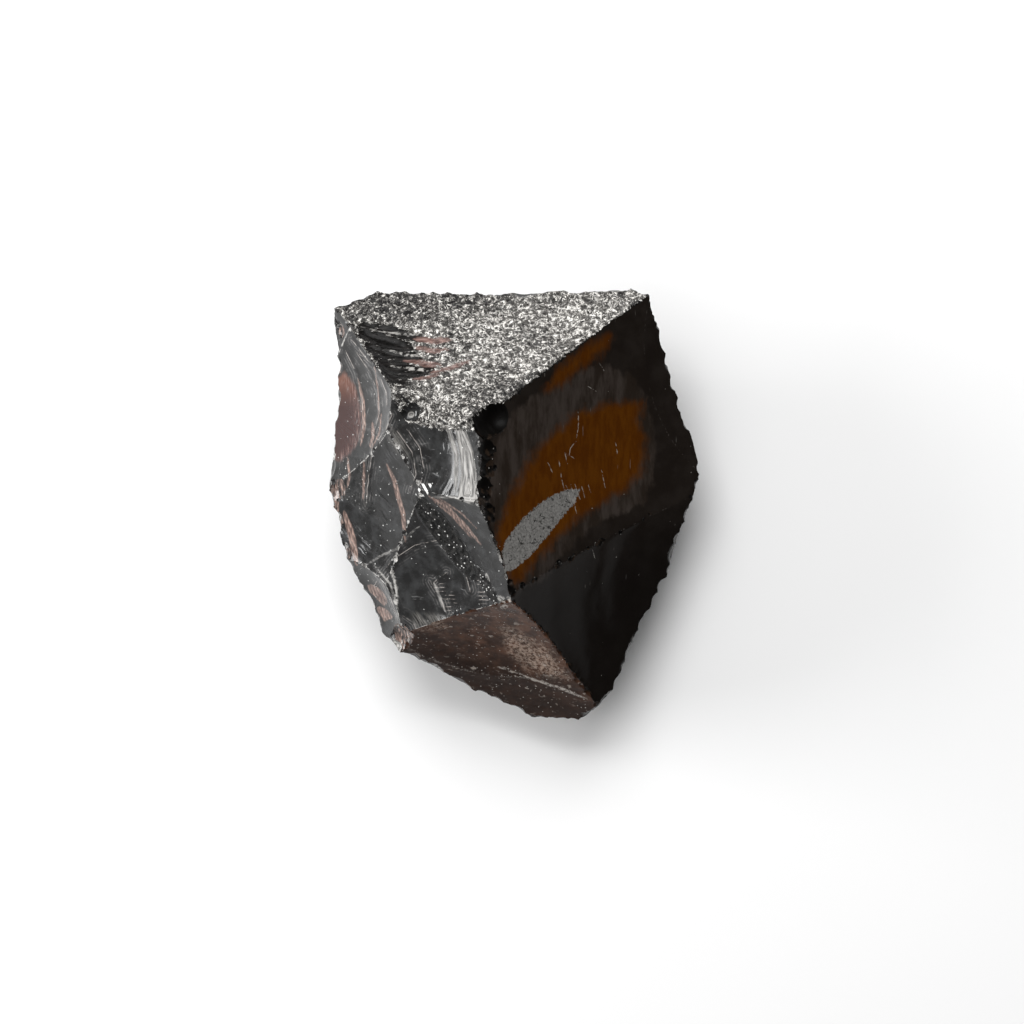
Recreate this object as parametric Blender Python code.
"""Struck chunk of obsidian, one solid.

The stone is shaped the way the real one was: a raw lump loses one flake after
another. Each flake leaves a shallow hollow scar, a piece of a large sphere,
and the ridges are the lines where two scars meet. Every scar is named, and is
set out by three landmarks that it passes through and by its hollow radius.

Frame: +Z up, the stone stands on its flat underside at z = 0, +Y is its long
way (the frosted end), +X its broad smooth side. Lengths below are millimetres.
"""
import math
import random

import bmesh
import bpy
from mathutils import Matrix, Vector

NAME = "obsidian_chunk"
MM = 0.001

# Overall size of the struck stone
SUMMIT_HEIGHT = 47.0
CREST_FOOT_HEIGHT = 41.0
HEART = Vector((0.0, 0.0, 22.0))

# Raw lump: how far it stands proud of the finished scars
LUMP_SPARE = 1.15

# Cutter meshing
SCAR_STEP = 3.6
CUTTER_DEPTH = 34.0
WHOLE_BALL_RADIUS = 80.0

# Nicks along the sharp outer rim
NICK_SEED = 11
NICK_COUNT = 20
NICK_RADIUS = (3.5, 7.0)
NICK_BITE = (0.5, 1.1)

# Landmarks of the upper side: x, y, z. Where z is a scar's name, the landmark
# lies on that scar.
LANDMARKS = {
    "summit": (-7.5, 16.0, SUMMIT_HEIGHT),
    "north_east": (25.0, 42.5, 23.5),
    "north_west_ridge": (-33.5, 36.0, 29.0),
    "crest_foot_west": (0.0, -17.0, 42.0),
    "smooth_north": (27.0, 39.5, 22.5),
    "smooth_east": (37.0, 2.0, "smooth"),
    "tip_ridge": (16.0, -40.0, 19.5),
    "east_bend": (32.5, 13.5, "smooth"),
    "east_edge": (31.0, 31.5, 18.0),
    "shoulder": (-23.0, 18.5, "frosted"),
    "west_edge": (-37.5, 12.0, 19.0),
    "north_west": (-36.5, 38.0, 24.5),
    "west_upper": (-37.0, 27.0, 21.0),
    "crest_middle": (-7.5, 0.5, "smooth"),
    "bowl_west": (-26.0, 12.0, 37.5),
    "bowl_foot": (-19.0, 2.0, 38.0),
    "west_step": (-33.0, 7.5, 25.5),
    "west_foot": (-32.5, -14.5, 20.0),
    "shell_top": (-20.5, -6.5, "west_middle"),
    "shell_side": (-9.5, -17.0, 38.5),
    "shell_foot": (-24.0, -21.5, 25.0),
    "south_west_ridge": (-29.0, -12.5, "west_low"),
    "south_west": (-26.5, -26.5, 17.5),
    "face_west": (-20.5, -25.5, 26.5),
    "crest_foot": (-1.5, -20.5, CREST_FOOT_HEIGHT),
    "south_step_west": (-12.5, -33.5, "south"),
    "south_step": (1.0, -35.5, "south"),
    "south_lip": (3.5, -44.5, 11.0),
    "fan_west": (-33.0, 36.0, "frosted"),
    "fan_east": (-15.0, 34.5, "frosted"),
    "fan_foot": (-24.5, 24.0, "frosted"),
}

# Scars of the upper side, in the order in which they were struck:
# name, three landmarks, hollow radius
UPPER_SCARS = (
    ("frosted", ("summit", "north_east", "north_west_ridge"), 420.0),
    ("smooth", ("summit", "smooth_north", "crest_foot_west"), 240.0),
    ("smooth_low", ("crest_foot_west", "smooth_east", "tip_ridge"), 230.0),
    ("east_rim", ("smooth_north", "east_bend", "east_edge"), 120.0),
    ("west_tall", ("north_west_ridge", "shoulder", "west_edge"), 62.0),
    ("west_corner", ("north_west_ridge", "north_west", "west_upper"), 80.0),
    ("bowl", ("summit", "crest_middle", "bowl_west"), 30.0),
    ("west_middle", ("bowl_foot", "west_step", "west_foot"), 75.0),
    ("flank", ("bowl_foot", "crest_middle", "crest_foot"), 50.0),
    ("west_low", ("shell_top", "shell_side", "shell_foot"), 38.0),
    ("south_west_corner", ("south_west_ridge", "shell_foot", "south_west"), 26.0),
    ("south", ("face_west", "crest_foot", "tip_ridge"), 110.0),
    ("south_steep", ("south_step", "south_step_west", "south_lip"), 70.0),
    ("fan", ("fan_west", "fan_east", "fan_foot"), 42.0),
)

# The outer rim seen from above, clockwise from the north-west corner: x, y.
# Its height follows from the scars above it.
RIM = {
    "rim_nw": (-36.5, 38.0),
    "rim_nnw": (-28.5, 44.0),
    "rim_ne": (24.0, 44.1),
    "rim_ene": (29.7, 37.6),
    "rim_e_bend": (36.9, 13.9),
    "rim_e": (38.8, 7.0),
    "rim_ese": (34.7, -5.5),
    "rim_kink": (33.8, -11.3),
    "rim_se": (28.0, -21.5),
    "rim_sse": (20.5, -38.0),
    "rim_s": (13.5, -45.0),
    "rim_s_lip": (3.5, -44.5),
    "rim_ssw_step": (-16.6, -35.6),
    "rim_ssw": (-24.2, -30.1),
    "rim_sw": (-27.3, -26.9),
    "rim_wsw": (-33.0, -15.0),
    "rim_w": (-38.0, 6.0),
}

# Landmarks of the underside, close to the flat that the stone rests on
FOOT = {
    "foot_n": (-10.0, 31.0, 4.0),
    "foot_nw": (-25.0, 27.0, 2.0),
    "foot_w": (-27.0, 8.0, 0.0),
    "foot_wsw": (-24.0, -8.0, 2.0),
    "foot_sw": (-19.0, -22.0, 0.0),
    "foot_sw_tip": (-22.4, -25.4, 1.0),
    "foot_sw_step": (-19.4, -31.7, 1.0),
    "foot_ssw": (-8.0, -33.0, 2.0),
    "foot_s": (8.0, -36.0, 0.0),
    "foot_sse": (17.0, -24.0, 0.0),
    "foot_tip": (17.0, -41.2, 0.0),
    "foot_se": (17.0, -26.0, 1.0),
    "foot_ese": (25.0, -10.0, 1.0),
    "foot_e": (28.0, 2.0, 2.0),
    "foot_e_bend": (30.0, 8.0, 4.0),
    "foot_ene": (26.0, 14.0, 1.0),
    "foot_ne": (24.0, 26.0, 4.0),
    "north_bevel_a": (-17.0, 8.0, 0.0),
    "north_bevel_b": (10.0, 17.0, 0.0),
    "north_bevel_c": (-9.0, 32.0, 8.0),
    "east_bevel_a": (17.0, 9.0, 0.0),
    "east_bevel_b": (9.0, -22.0, 0.0),
    "east_bevel_c": (26.0, -13.0, 6.5),
    "south_bevel_a": (-17.0, -11.0, 0.0),
    "south_bevel_b": (5.0, -24.0, 0.0),
    "south_bevel_c": (-10.0, -31.0, 8.5),
    "west_bevel_a": (-19.0, 12.0, 0.0),
    "west_bevel_b": (-18.0, -9.0, 0.0),
    "west_bevel_c": (-30.0, 1.0, 7.5),
}

LOWER_SCARS = (
    ("under_n", ("rim_nnw", "rim_ne", "foot_n"), 1200.0),
    ("under_nw", ("rim_nw", "rim_nnw", "foot_nw"), 70.0),
    ("under_w", ("rim_nw", "rim_w", "foot_w"), 500.0),
    ("under_wsw", ("rim_w", "rim_wsw", "foot_wsw"), 200.0),
    ("under_sw", ("rim_wsw", "rim_sw", "foot_sw"), 160.0),
    ("under_sw_tip", ("rim_sw", "rim_ssw", "foot_sw_tip"), 150.0),
    ("under_sw_step", ("rim_ssw", "rim_ssw_step", "foot_sw_step"), 120.0),
    ("under_ssw", ("rim_ssw_step", "rim_s_lip", "foot_ssw"), 200.0),
    ("under_s", ("rim_s_lip", "rim_s", "foot_s"), 90.0),
    ("under_sse", ("rim_s", "rim_sse", "foot_sse"), 90.0),
    ("under_tip", ("rim_s", "rim_sse", "foot_tip"), 50.0),
    ("under_se", ("rim_sse", "rim_se", "foot_se"), 260.0),
    ("under_ese", ("rim_se", "rim_kink", "foot_ese"), 200.0),
    ("under_e", ("rim_ese", "rim_e", "foot_e"), 80.0),
    ("under_e_bend", ("rim_e", "rim_e_bend", "foot_e_bend"), 60.0),
    ("under_ene", ("rim_e_bend", "rim_ene", "foot_ene"), 600.0),
    ("under_ne", ("rim_ene", "rim_ne", "foot_ne"), 60.0),
    ("bevel_n", ("north_bevel_a", "north_bevel_b", "north_bevel_c"), 60.0),
    ("bevel_e", ("east_bevel_a", "east_bevel_b", "east_bevel_c"), 70.0),
    ("bevel_s", ("south_bevel_a", "south_bevel_b", "south_bevel_c"), 60.0),
    ("bevel_w", ("west_bevel_a", "west_bevel_b", "west_bevel_c"), 50.0),
)

# Small deep bites: name, middle on the surface, half sizes along x, y, z
BITES = (
    ("notch", (-4.0, 16.5, 45.6), (4.6, 3.6, 3.4)),
    ("pit", (-20.5, 21.3, 42.6), (2.2, 2.2, 1.7)),
    ("sliver", (21.0, 40.0, 26.4), (3.6, 1.6, 1.3)),
)

GLASS_COLOUR = (0.012, 0.011, 0.011, 1.0)
GLASS_ROUGHNESS = 0.12


def sphere_through(a, b, c, radius):
    """Centre of the sphere of this radius through a, b and c, outside the stone."""
    ab = b - a
    ac = c - a
    normal = ab.cross(ac)
    square = normal.length_squared
    lean = normal.cross(ab) * ac.length_squared + ac.cross(normal) * ab.length_squared
    middle = a + lean / (2.0 * square)
    normal = normal.normalized()
    if normal.dot(middle - HEART) < 0.0:
        normal = -normal
    reach = (a - middle).length
    radius = max(radius, 1.01 * reach)
    centre = middle + normal * math.sqrt(radius * radius - reach * reach)
    return centre, radius


def height_on(scar, x, y):
    """Height of an upper scar's surface above the point x, y."""
    centre, radius = scar
    square = radius * radius - (x - centre.x) ** 2 - (y - centre.y) ** 2
    if square < 0.0:
        return None
    return centre.z - math.sqrt(square)


def set_out():
    """Find every landmark and every scar's sphere from the dimensions above."""
    points = {}
    scars = {}

    def place(name):
        if name in points:
            return points[name]
        x, y, z = LANDMARKS[name]
        if isinstance(z, str):
            z = height_on(scars[z], x, y)
        points[name] = Vector((x, y, z))
        return points[name]

    for name, corners, radius in UPPER_SCARS:
        a, b, c = [place(corner) for corner in corners]
        scars[name] = sphere_through(a, b, c, radius)
    for name, (x, y) in RIM.items():
        heights = [height_on(scar, x, y) for scar in scars.values()]
        points[name] = Vector((x, y, min(height for height in heights if height is not None)))
    for name, place_mm in FOOT.items():
        points[name] = Vector(place_mm)
    for name, corners, radius in LOWER_SCARS:
        a, b, c = [points[corner] for corner in corners]
        scars[name] = sphere_through(a, b, c, radius)
    return points, scars


def new_object(name, mesh_builder, collection):
    """Make a mesh object in metres from a bmesh that is set out in millimetres."""
    mesh = bpy.data.meshes.new(name)
    mesh_builder.transform(Matrix.Scale(MM, 4))
    bmesh.ops.recalc_face_normals(mesh_builder, faces=mesh_builder.faces)
    if mesh_builder.calc_volume(signed=True) < 0.0:
        bmesh.ops.reverse_faces(mesh_builder, faces=mesh_builder.faces)
    mesh_builder.to_mesh(mesh)
    mesh_builder.free()
    obj = bpy.data.objects.new(name, mesh)
    collection.objects.link(obj)
    return obj


def domed_block(centre, radius, corners):
    """Flake cutter: a block whose stone side is the scar's hollow sphere."""
    middle = sum(corners, Vector()) / len(corners)
    toward = (middle - centre).normalized()
    reach = 4.0 + 2.0 * max((corner - middle).length for corner in corners)
    reach = min(reach, 0.62 * radius)
    count = max(4, math.ceil(2.0 * reach / SCAR_STEP))
    bm = bmesh.new()
    bmesh.ops.create_grid(bm, x_segments=count, y_segments=count, size=reach)
    for vert in bm.verts:
        fall = radius - math.sqrt(radius * radius - vert.co.x ** 2 - vert.co.y ** 2)
        vert.co.z = -fall
    dome = bm.faces[:]
    back = bmesh.ops.extrude_face_region(bm, geom=dome)
    depth = CUTTER_DEPTH + radius - math.sqrt(radius * radius - 2.0 * reach * reach)
    for item in back["geom"]:
        if isinstance(item, bmesh.types.BMVert):
            item.co.z = -depth
    turn = toward.to_track_quat("Z", "Y").to_matrix().to_4x4()
    turn.translation = centre + toward * radius
    bm.transform(turn)
    return bm


def ball(centre, halves, subdivisions):
    """Round cutter with half sizes along x, y and z."""
    bm = bmesh.new()
    bmesh.ops.create_icosphere(bm, subdivisions=subdivisions, radius=1.0)
    for vert in bm.verts:
        vert.co = Vector((vert.co.x * halves[0], vert.co.y * halves[1], vert.co.z * halves[2])) + centre
    return bm


def raw_lump(points):
    """The unstruck lump: a hull that stands a little proud of every landmark."""
    bm = bmesh.new()
    for point in points.values():
        bm.verts.new(HEART + (point - HEART) * LUMP_SPARE)
    hull = bmesh.ops.convex_hull(bm, input=bm.verts)
    spare = [item for item in hull["geom_interior"] if isinstance(item, bmesh.types.BMVert)]
    bmesh.ops.delete(bm, geom=spare, context="VERTS")
    return bm


def rim_nicks(points):
    """Seeded small bites along the sharp outer rim."""
    dice = random.Random(NICK_SEED)
    names = list(RIM)
    nicks = []
    for index in range(NICK_COUNT):
        start = index * len(names) / NICK_COUNT + dice.uniform(0.0, 0.5)
        first = points[names[int(start) % len(names)]]
        second = points[names[(int(start) + 1) % len(names)]]
        spot = first.lerp(second, start - int(start))
        out = Vector((spot.x, spot.y, 0.0)).normalized()
        out.z = dice.uniform(-0.5, 0.7)
        out.normalize()
        radius = dice.uniform(*NICK_RADIUS)
        bite = dice.uniform(*NICK_BITE)
        nicks.append(("nick_%02d" % index, spot + out * (radius - bite), (radius, radius, radius)))
    return nicks


def cut(stone, cutter):
    """Strike one flake off the stone."""
    strike = stone.modifiers.new(cutter.name, "BOOLEAN")
    strike.operation = "DIFFERENCE"
    strike.solver = "EXACT"
    strike.object = cutter
    cutter.hide_render = True
    cutter.display_type = "WIRE"


def finish(stone):
    """Turn the struck stone into a plain mesh, free of slivers, on its origin."""
    depsgraph = bpy.context.evaluated_depsgraph_get()
    struck = bpy.data.meshes.new_from_object(stone.evaluated_get(depsgraph))
    bm = bmesh.new()
    bm.from_mesh(struck)
    bmesh.ops.remove_doubles(bm, verts=bm.verts, dist=0.00008)
    bmesh.ops.dissolve_degenerate(bm, edges=bm.edges, dist=0.00002)
    bmesh.ops.triangulate(bm, faces=bm.faces)
    low = Vector((min(v.co.x for v in bm.verts), min(v.co.y for v in bm.verts), 0.0))
    high = Vector((max(v.co.x for v in bm.verts), max(v.co.y for v in bm.verts), 0.0))
    bmesh.ops.translate(bm, verts=bm.verts, vec=-(low + high) / 2.0)
    bmesh.ops.recalc_face_normals(bm, faces=bm.faces)
    stone.modifiers.clear()
    bm.to_mesh(struck)
    bm.free()
    stone.data = struck
    struck.name = NAME
    struck.materials.clear()
    struck.materials.append(volcanic_glass())
    struck.shade_smooth()
    struck.set_sharp_from_angle(angle=math.radians(14.0))
    size = high - low
    middle = (low + high) / 2.0
    print("size mm", [round(value / MM, 3) for value in size])
    print("middle mm", [round(value / MM, 3) for value in middle])
    print("triangles", len(struck.polygons))


def volcanic_glass():
    material = bpy.data.materials.new("volcanic_glass")
    material.use_nodes = True
    shader = material.node_tree.nodes["Principled BSDF"]
    shader.inputs["Base Color"].default_value = GLASS_COLOUR
    shader.inputs["Roughness"].default_value = GLASS_ROUGHNESS
    shader.inputs["Metallic"].default_value = 0.0
    return material


def main():
    for old in list(bpy.data.objects):
        bpy.data.objects.remove(old, do_unlink=True)
    part = bpy.data.collections.new(NAME)
    cutters = bpy.data.collections.new(NAME + "_cutters")
    bpy.context.scene.collection.children.link(part)
    bpy.context.scene.collection.children.link(cutters)

    points, scars = set_out()
    stone = new_object(NAME, raw_lump(points), part)

    bm = bmesh.new()
    bmesh.ops.create_cube(bm, size=120.0)
    bmesh.ops.translate(bm, verts=bm.verts, vec=(0.0, 0.0, -60.0))
    cut(stone, new_object("rest_cutter", bm, cutters))

    for name, corners, _ in UPPER_SCARS + LOWER_SCARS:
        centre, radius = scars[name]
        if radius <= WHOLE_BALL_RADIUS:
            bm = ball(centre, (radius, radius, radius), 4 if radius < 35.0 else 5)
        else:
            bm = domed_block(centre, radius, [points[corner] for corner in corners])
        cut(stone, new_object(name + "_cutter", bm, cutters))

    for name, middle, halves in BITES:
        cut(stone, new_object(name + "_cutter", ball(Vector(middle), halves, 2), cutters))
    for name, middle, halves in rim_nicks(points):
        cut(stone, new_object(name + "_cutter", ball(middle, halves, 2), cutters))
    finish(stone)


main()
